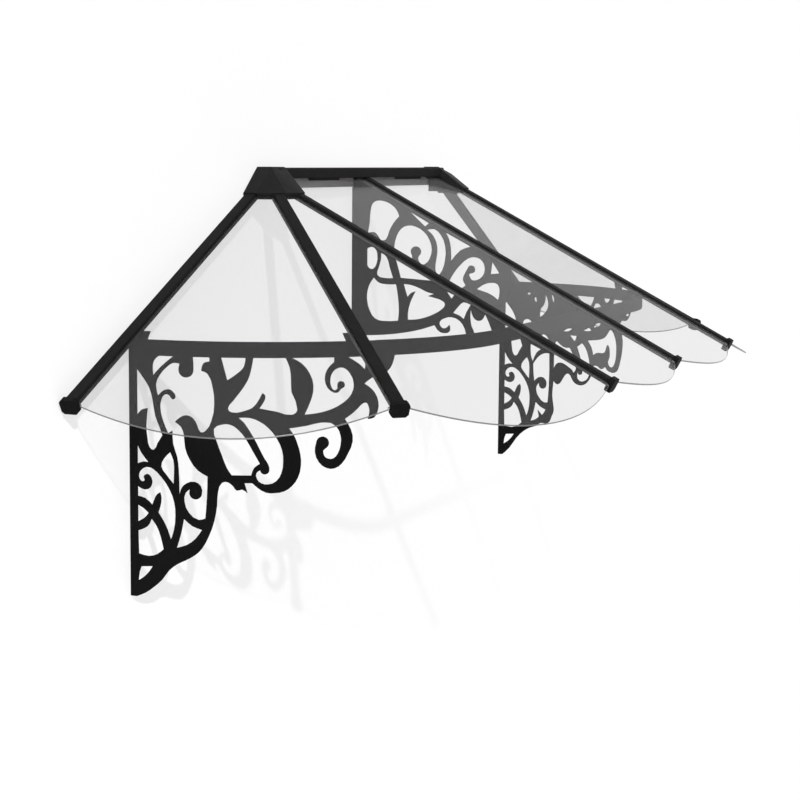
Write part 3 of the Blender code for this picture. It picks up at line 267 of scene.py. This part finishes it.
def clear_sheet():
    """Clear roofing sheet. It veils more the flatter it is looked along, and its colour lightens there with
    a painted reflection.
    """
    paint = Paint(bpy.data.materials.new("clear sheet"))
    facing = paint.node("ShaderNodeLayerWeight", {}, {"Blend": 0.5}, "Facing")
    haze = paint.noise(9.0)
    ripple = paint.noise(3.5, detail=1.0, roughness=0.5, stretch=(1.0, 1.0, 0.3))
    veil = 0.10 + 0.27 * facing**6
    # Painted reflection: the colour turns a lighter grey as the sheet is seen more at a glance.
    painted_reflection_mask = paint.spread(facing, 0.66, 0.84, 0.0, 1.0)
    painted_reflection_grey = paint.blend(haze, grey(0.28), grey(0.31))
    finish = {
        "Base Color": paint.blend(painted_reflection_mask, grey(0.135), painted_reflection_grey),
        "Roughness": paint.spread(haze, *NOISE_RANGE, 0.04, 0.09),
        "IOR": 1.5,
        "Alpha": veil,
        "Normal": paint.bump(ripple, strength=0.05, distance=0.002),
    }
    return paint.surface(paint.node("ShaderNodeBsdfPrincipled", {}, finish))


def sheet_edge():
    """The cut and polished edge of the sheet, which gathers light and shade."""
    paint = Paint(bpy.data.materials.new("sheet edge"))
    saw_marks = paint.noise(240.0, detail=2.0)
    finish = {
        "Base Color": paint.blend(saw_marks, grey(0.10), grey(0.15)),
        "Roughness": paint.spread(saw_marks, *NOISE_RANGE, 0.22, 0.34),
        "IOR": 1.5,
        "Alpha": 0.92,
    }
    return paint.surface(paint.node("ShaderNodeBsdfPrincipled", {}, finish))


def studio_white():
    """A pale matt surface that reads white to the lens and keeps soft shadows, which fade to the right."""
    paint = Paint(bpy.data.materials.new("studio white"))
    sideways = paint.node("ShaderNodeSeparateXYZ", {}, {"Vector": paint.place()}, "X")
    shade = paint.spread(sideways, SHADE_LEFT_X, SHADE_RIGHT_X, SHADE_LEFT, SHADE_RIGHT)
    matt = paint.node("ShaderNodeBsdfDiffuse", {}, {"Color": grey(0.9)})
    glow = paint.node("ShaderNodeEmission", {}, {"Color": grey(1.0), "Strength": 1.0})
    glow_share = paint.looked_at() * (1 - shade)
    front = paint.node("ShaderNodeMixShader", {}, {0: glow_share, 1: matt, 2: glow})
    behind = paint.node("ShaderNodeNewGeometry", {}, {}, "Backfacing")
    nothing = paint.node("ShaderNodeBsdfTransparent", {}, {})
    return paint.surface(paint.node("ShaderNodeMixShader", {}, {0: behind, 1: front, 2: nothing}))


bar_metal = coated_metal("rib coating", level=0.0105, roughness=0.50, gloss=0.012, peel_scale=420.0)
# Painted light: the rafters carry the ribs' own coat, made a lighter grey here for how light falls on them.
rafter_painted_light = coated_metal("rafter painted light", level=0.058, roughness=0.55, gloss=0.03, peel_scale=420.0)
plate_metal = coated_metal("plate coating", level=0.0055, roughness=0.55, gloss=0.015, peel_scale=520.0)
hub_metal = coated_metal("hub coating", level=0.0100, roughness=0.50, gloss=0.04, peel_scale=380.0)
# Painted light: the ridge's own coat, made a light grey for the flange's street-facing faces.
flange_painted_light = coated_metal("flange painted light", level=0.31, roughness=0.45, gloss=0.3, peel_scale=300.0)
cap_plastic = moulded_plastic("cap plastic", level=0.0062, roughness=0.55)
sheet_face = clear_sheet()
sheet_rim = sheet_edge()

FINISHES = {
    "bar_metal": bar_metal,
    "plate_metal": plate_metal,
    "hub_casting": hub_metal,
    "end_cap_plastic": cap_plastic,
    "clear_sheet": sheet_face,
}
slot_of = {entry["node"]: entry["material_slot"] for entry in frame["record"]["subparts"]}
for name, node in nodes.items():
    node.data.materials.clear()
    node.data.materials.append(FINISHES[slot_of[name]])


# Pieces that stand for the frame's nodes, with finer edges


def join_flat_faces(shape, degrees):
    bmesh.ops.dissolve_limit(
        shape, angle_limit=math.radians(degrees), verts=shape.verts, edges=shape.edges, delimit=set()
    )


def merged_copy(name):
    """The node's shape as whole flat faces, ready to be worked on."""
    shape = bmesh.new()
    shape.from_mesh(nodes[name].data)
    bmesh.ops.remove_doubles(shape, verts=shape.verts, dist=SAME_POINT)
    join_flat_faces(shape, SAME_FACE)
    return shape


def stand_in(name, shape, finishes):
    """Puts the finished shape in the scene in place of the node of that name."""
    mesh = bpy.data.meshes.new(name + "_finished")
    shape.to_mesh(mesh)
    shape.free()
    piece = bpy.data.objects.new(name + "_finished", mesh)
    bpy.context.scene.collection.objects.link(piece)
    for finish in finishes:
        mesh.materials.append(finish)
    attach(piece, "root")
    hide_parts(name)
    return piece


def soften(shape, edges, width, segments=2, finish=-1):
    bmesh.ops.bevel(
        shape, geom=edges, offset=width, offset_type="OFFSET", affect="EDGES", segments=segments,
        profile=0.5, material=finish, clamp_overlap=False,
    )


def sharp_edges(shape, degrees):
    least = math.radians(degrees)
    return [edge for edge in shape.edges if edge.is_manifold and edge.calc_face_angle() > least]


def finished_sheet(name):
    """A clear sheet with its edges broken and polished."""
    shape = merged_copy(name)
    broad = max(shape.faces, key=lambda face: face.calc_area()).normal.copy()
    for face in shape.faces:
        face.material_index = 0 if abs(face.normal.dot(broad)) > BROAD_FACE else 1
    corners = sharp_edges(shape, SHEET_ANGLE)
    rim = [edge for edge in corners if sum(face.material_index for face in edge.link_faces) == 1]
    soften(shape, rim, SHEET_ARRIS, segments=1, finish=1)
    stand_in(name, shape, [sheet_face, sheet_rim])


def finished_plate(name):
    """A cut scroll plate with its edges eased, as the blast and the coating leave them."""
    shape = merged_copy(name)
    soften(shape, sharp_edges(shape, PLATE_ANGLE), PLATE_EDGE)
    stand_in(name, shape, [plate_metal])


def finished_bar(name):
    """A drawn bar with its edges rounded. All rafters but the nearest at the wall get a lighter grey, which
    is painted light for how light falls on them.
    """
    shape = merged_copy(name)
    soften(shape, sharp_edges(shape, BAR_ANGLE), BAR_EDGE)
    # Painted light: a lighter grey on all rafters but the nearest at the wall.
    painted_lighter = name.startswith("rafter_") and name != "rafter_a_left"
    stand_in(name, shape, [rafter_painted_light if painted_lighter else bar_metal])


def rib_axes(heading):
    """Directions across a rib, square to the roof, and down along it."""
    angle = math.radians(heading)
    along = Vector((ROOF_RUN * math.cos(angle), ROOF_RUN * math.sin(angle), -ROOF_DROP)).normalized()
    across = along.cross(Vector((0, 0, 1))).normalized()
    return across, across.cross(along), along


def reach(vectors, direction):
    distances = [vector.dot(direction) for vector in vectors]
    return min(distances), max(distances)


def end_cap(name, heading):
    """A moulded cap: a block with chamfered shoulders and soft edges that closes the end of a rib."""
    across, square, along = rib_axes(heading)
    corners = [vertex.co for vertex in nodes[name].data.vertices]
    middle = sum(reach(corners, across)) / 2
    bottom, top = reach(corners, square)
    outer = reach(corners, along)[1] + CAP_REACH
    shape = bmesh.new()
    bmesh.ops.create_cube(shape, size=1.0)
    bmesh.ops.scale(shape, vec=(CAP_WIDTH, top - bottom, CAP_LENGTH), verts=shape.verts)
    long_edges = [edge for edge in shape.edges if edge.verts[0].co.z * edge.verts[1].co.z < 0]
    soften(shape, long_edges, CAP_SHOULDER, segments=1)
    soften(shape, sharp_edges(shape, CAP_ANGLE), CAP_EDGE)
    turn = Matrix((across, square, along)).transposed().to_4x4()
    centre = across * middle + square * (bottom + top) / 2 + along * (outer - CAP_LENGTH / 2)
    shape.transform(Matrix.Translation(centre) @ turn)
    bmesh.ops.recalc_face_normals(shape, faces=shape.faces)
    stand_in(name, shape, [cap_plastic])


def hub_cover(name, side):
    """The moulded hub cover: one smooth skin over the crown and its three arms."""
    hub = Vector((side * HUB_X, HUB_Y, 0.0))
    ridge_end = side * COVER_RIDGE_END
    outer_end = side * (HUB_X + CROWN_ENDS[side])
    crown_sides = (-CLEARANCE, CROWN_FRONT)
    crown_levels = (CROWN_TOP, -CROWN_DEPTH)
    corners = [Vector((outer_end, y, z)) for y in crown_sides for z in crown_levels]
    corners += [Vector((ridge_end, y, CROWN_TOP)) for y in (-CLEARANCE, COVER_FRONT + COVER_NOSE)]
    corners += [Vector((ridge_end, COVER_FRONT, z)) for z in (CROWN_TOP - COVER_NOSE, -COVER_LIP)]
    corners.append(Vector((ridge_end, -CLEARANCE, -COVER_LIP)))
    for heading in ARM_HEADINGS[side]:
        across, square, along = rib_axes(heading)
        for distance, half_width, rise in ARM_CORNERS:
            middle = hub + along * distance + square * rise
            corners += [middle + across * half_width * hand for hand in (-1, 1)]
    shape = bmesh.new()
    for corner in corners:
        shape.verts.new(corner)
    hull = bmesh.ops.convex_hull(shape, input=shape.verts)
    spare = set(hull["geom_interior"]) | set(hull["geom_unused"])
    spare_points = [item for item in spare if isinstance(item, bmesh.types.BMVert)]
    bmesh.ops.delete(shape, geom=spare_points, context="VERTS")
    bmesh.ops.recalc_face_normals(shape, faces=shape.faces)
    join_flat_faces(shape, COVER_FLATNESS)
    under = [face for face in shape.faces if face.normal.z < COVER_OPEN_BELOW]
    bmesh.ops.delete(shape, geom=under, context="FACES_ONLY")
    for face in shape.faces:
        face.smooth = True
    piece = stand_in(name, shape, [hub_metal])
    wall = piece.modifiers.new("wall", "SOLIDIFY")
    wall.thickness = COVER_WALL
    wall.offset = -1.0
    edges = piece.modifiers.new("soft edges", "BEVEL")
    edges.width = COVER_EDGE
    edges.segments = COVER_EDGE_STEPS
    edges.limit_method = "ANGLE"
    edges.angle_limit = math.radians(COVER_ANGLE)
    edges.harden_normals = True


def hub_body(name, side):
    """The casting under the sheets, with its three sockets cut back to where the cover hides them."""
    shape = merged_copy(name)
    hub = Vector((side * HUB_X, HUB_Y, 0.0))
    for heading in ARM_HEADINGS[side]:
        along = rib_axes(heading)[2]
        everything = shape.verts[:] + shape.edges[:] + shape.faces[:]
        cut = bmesh.ops.bisect_plane(
            shape, geom=everything, plane_co=hub + along * BODY_REACH, plane_no=along, clear_outer=True
        )
        cut_edges = [item for item in cut["geom_cut"] if isinstance(item, bmesh.types.BMEdge)]
        bmesh.ops.holes_fill(shape, edges=cut_edges)
    bmesh.ops.remove_doubles(shape, verts=shape.verts, dist=CUT_SLIVER)
    bmesh.ops.dissolve_degenerate(shape, edges=shape.edges, dist=CUT_SLIVER)
    stand_in(name, shape, [hub_metal])


def ridge_bar(name):
    """The folded ridge, run on into the hubs, with painted light on the flange on the wall: its low
    street-facing faces get a lighter grey than the same coat above.
    """
    shape = merged_copy(name)
    end = max(vertex.co.x for vertex in shape.verts)
    for vertex in shape.verts:
        if abs(vertex.co.x) > end - RIDGE_END_BAND:
            vertex.co.x += math.copysign(RIDGE_RUN_ON, vertex.co.x)
    for face in shape.faces:
        # Low faces that look to the street get the lighter grey of painted light.
        low = face.calc_center_median().z < FLANGE_TOP
        face.material_index = 1 if low and face.normal.y < LOOKS_TO_STREET else 0
    soften(shape, sharp_edges(shape, FOLD_ANGLE), FOLD_EDGE)
    stand_in(name, shape, [bar_metal, flange_painted_light])


for name in sorted(nodes):
    if slot_of[name] == "clear_sheet":
        finished_sheet(name)
    elif slot_of[name] == "end_cap_plastic":
        end_cap(name, HEADINGS[name.removeprefix("cap_")])
    elif slot_of[name] == "plate_metal":
        finished_plate(name)
    elif slot_of[name] == "bar_metal" and name != "ridge_bar":
        finished_bar(name)
hub_cover("hub_cover_left", -1)
hub_cover("hub_cover_right", 1)
hub_body("hub_body_left", -1)
hub_body("hub_body_right", 1)
ridge_bar("ridge_bar")


# Studio


def flat_stage(name, width, depth, place, turn, finish):
    """A flat sheet of the studio: a metre square lying down, stretched, turned about X and put in place."""
    shape = bmesh.new()
    half_side = 0.5
    bmesh.ops.create_grid(shape, x_segments=1, y_segments=1, size=half_side)
    bmesh.ops.scale(shape, vec=(width, depth, 1.0), verts=shape.verts)
    shape.transform(Matrix.Translation(place) @ Matrix.Rotation(turn, 4, "X"))
    mesh = bpy.data.meshes.new(name)
    shape.to_mesh(mesh)
    shape.free()
    mesh.materials.append(finish)
    made = bpy.data.objects.new(name, mesh)
    bpy.context.scene.collection.objects.link(made)
    return made


def studio_air(strength):
    """Light from all round, which shows white to the lens and in gloss."""
    paint = Paint(bpy.data.worlds.new("studio air"), "ShaderNodeOutputWorld")
    lit = paint.node("ShaderNodeBackground", {}, {"Color": grey(1.0), "Strength": strength})
    shown = paint.node("ShaderNodeBackground", {}, {"Color": grey(1.0), "Strength": 1.0})
    return paint.surface(paint.node("ShaderNodeMixShader", {}, {0: paint.looked_at(), 1: lit, 2: shown}))


def key_lamp(direction, spread, strength):
    """A far lamp whose light runs in the direction given, with a soft edge to its shadows."""
    lamp = bpy.data.lights.new("key", "SUN")
    lamp.angle = spread
    lamp.energy = strength
    made = bpy.data.objects.new("key", lamp)
    made.rotation_mode = "QUATERNION"
    made.rotation_quaternion = direction.to_track_quat("-Z", "Y")
    bpy.context.scene.collection.objects.link(made)


white = studio_white()
room_width = 2 * ROOM_HALF_WIDTH
wall_height = ROOM_HALF_WIDTH - FLOOR_LEVEL
wall = flat_stage(
    "wall", room_width, wall_height, (0, WALL_FACE, FLOOR_LEVEL + wall_height / 2), math.radians(90), white
)
wall.visible_shadow = False
flat_stage("floor", room_width, room_width, (0, 0, FLOOR_LEVEL), 0.0, white)
bpy.context.scene.world = studio_air(AIR_STRENGTH)
key_lamp(KEY_DIRECTION, math.radians(KEY_SPREAD), KEY_STRENGTH)


# Camera

FOCAL_PIXELS = 1936.6
PICTURE_PIXELS = 800.0
CAMERA_PLACE = (-3.7195, -1.7143, 0.0286)
YAW = math.radians(66.705)
PITCH = math.radians(7.081)
ROLL = math.radians(0.476)

forward = Vector((math.sin(YAW) * math.cos(PITCH), math.cos(YAW) * math.cos(PITCH), -math.sin(PITCH)))
level = Vector((math.cos(YAW), -math.sin(YAW), 0.0))
upright = level.cross(forward)
right = math.cos(ROLL) * level + math.sin(ROLL) * upright
up = math.cos(ROLL) * upright - math.sin(ROLL) * level
lens = bpy.data.cameras.new("camera")
lens.lens = FOCAL_PIXELS / PICTURE_PIXELS * lens.sensor_width
camera = bpy.data.objects.new("camera", lens)
camera.matrix_world = Matrix.Translation(CAMERA_PLACE) @ Matrix((right, up, -forward)).transposed().to_4x4()
bpy.context.scene.collection.objects.link(camera)
bpy.context.scene.camera = camera
bpy.context.scene.view_settings.view_transform = "Standard"
